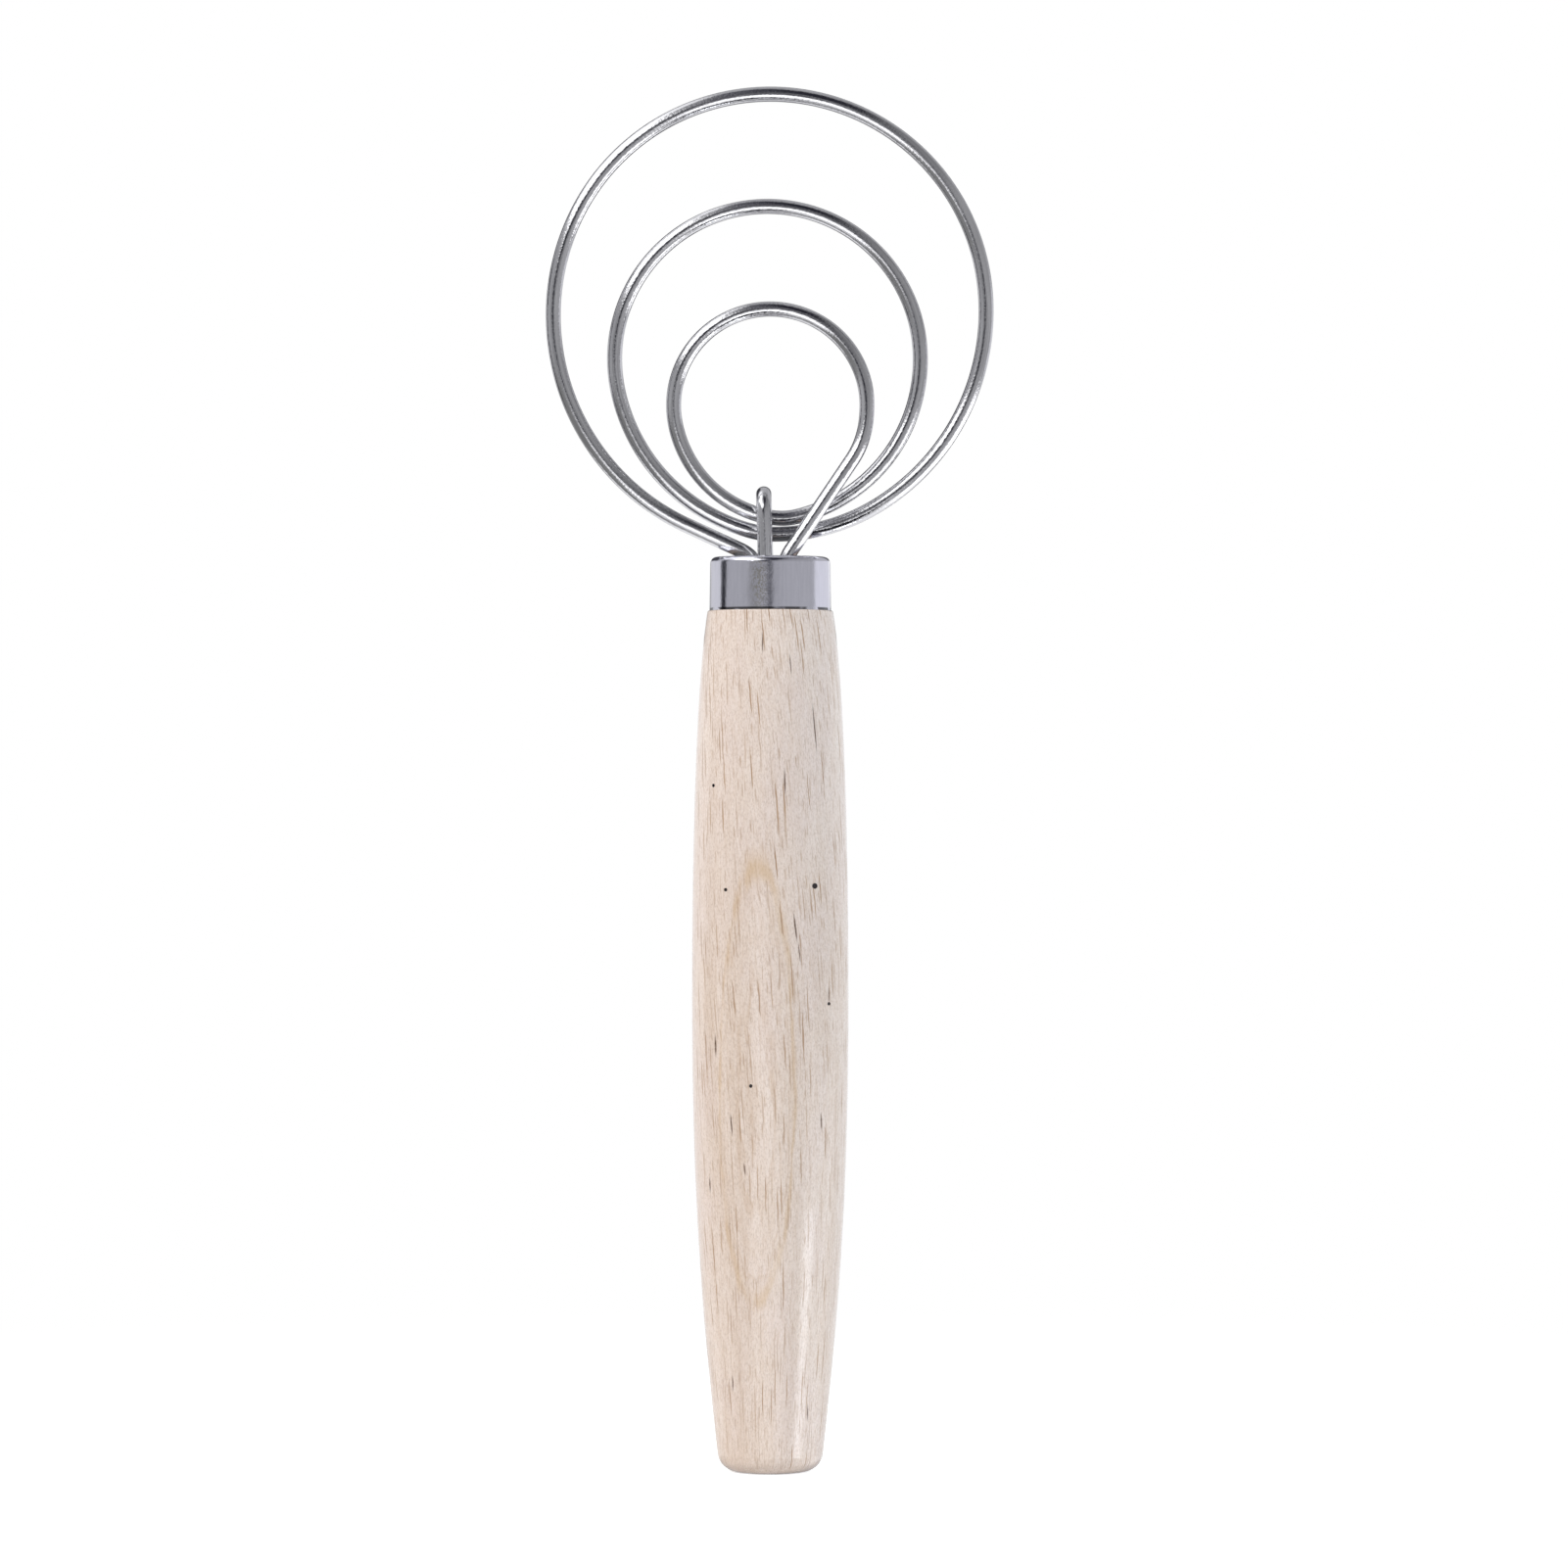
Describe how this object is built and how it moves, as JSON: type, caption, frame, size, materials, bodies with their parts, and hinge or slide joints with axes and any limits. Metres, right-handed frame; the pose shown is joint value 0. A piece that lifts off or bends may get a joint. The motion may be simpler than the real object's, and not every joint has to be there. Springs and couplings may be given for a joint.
{
  "type": "dough whisk",
  "caption": "Dough whisk: stiff steel wire wound in nested eyes, held by a hairpin staple and a steel ferrule in a turned, slightly bellied wooden handle.",
  "frame": {"origin": "middle of the flat butt face at the end of the handle", "axes": "+Z along the handle towards the eyes, X across the eyes, -Y is the front, where the wire's inner tail crosses the passes"},
  "size_m": [0.0712, 0.0248, 0.22],
  "materials": {
    "wire_steel": "bright drawn stainless steel wire, polished",
    "ferrule_steel": "drawn stainless steel, polished, faint lines round it",
    "lacquered_wood": "pale hardwood, satin clear lacquer",
    "adhesive": "hardened dark grey epoxy adhesive"
  },
  "bodies": {
    "root": {"whisk_wire": "wire_steel", "keeper_staple": "wire_steel", "ferrule": "ferrule_steel", "handle": "lacquered_wood", "socket_filler": "adhesive"}
  },
  "joints": []
}
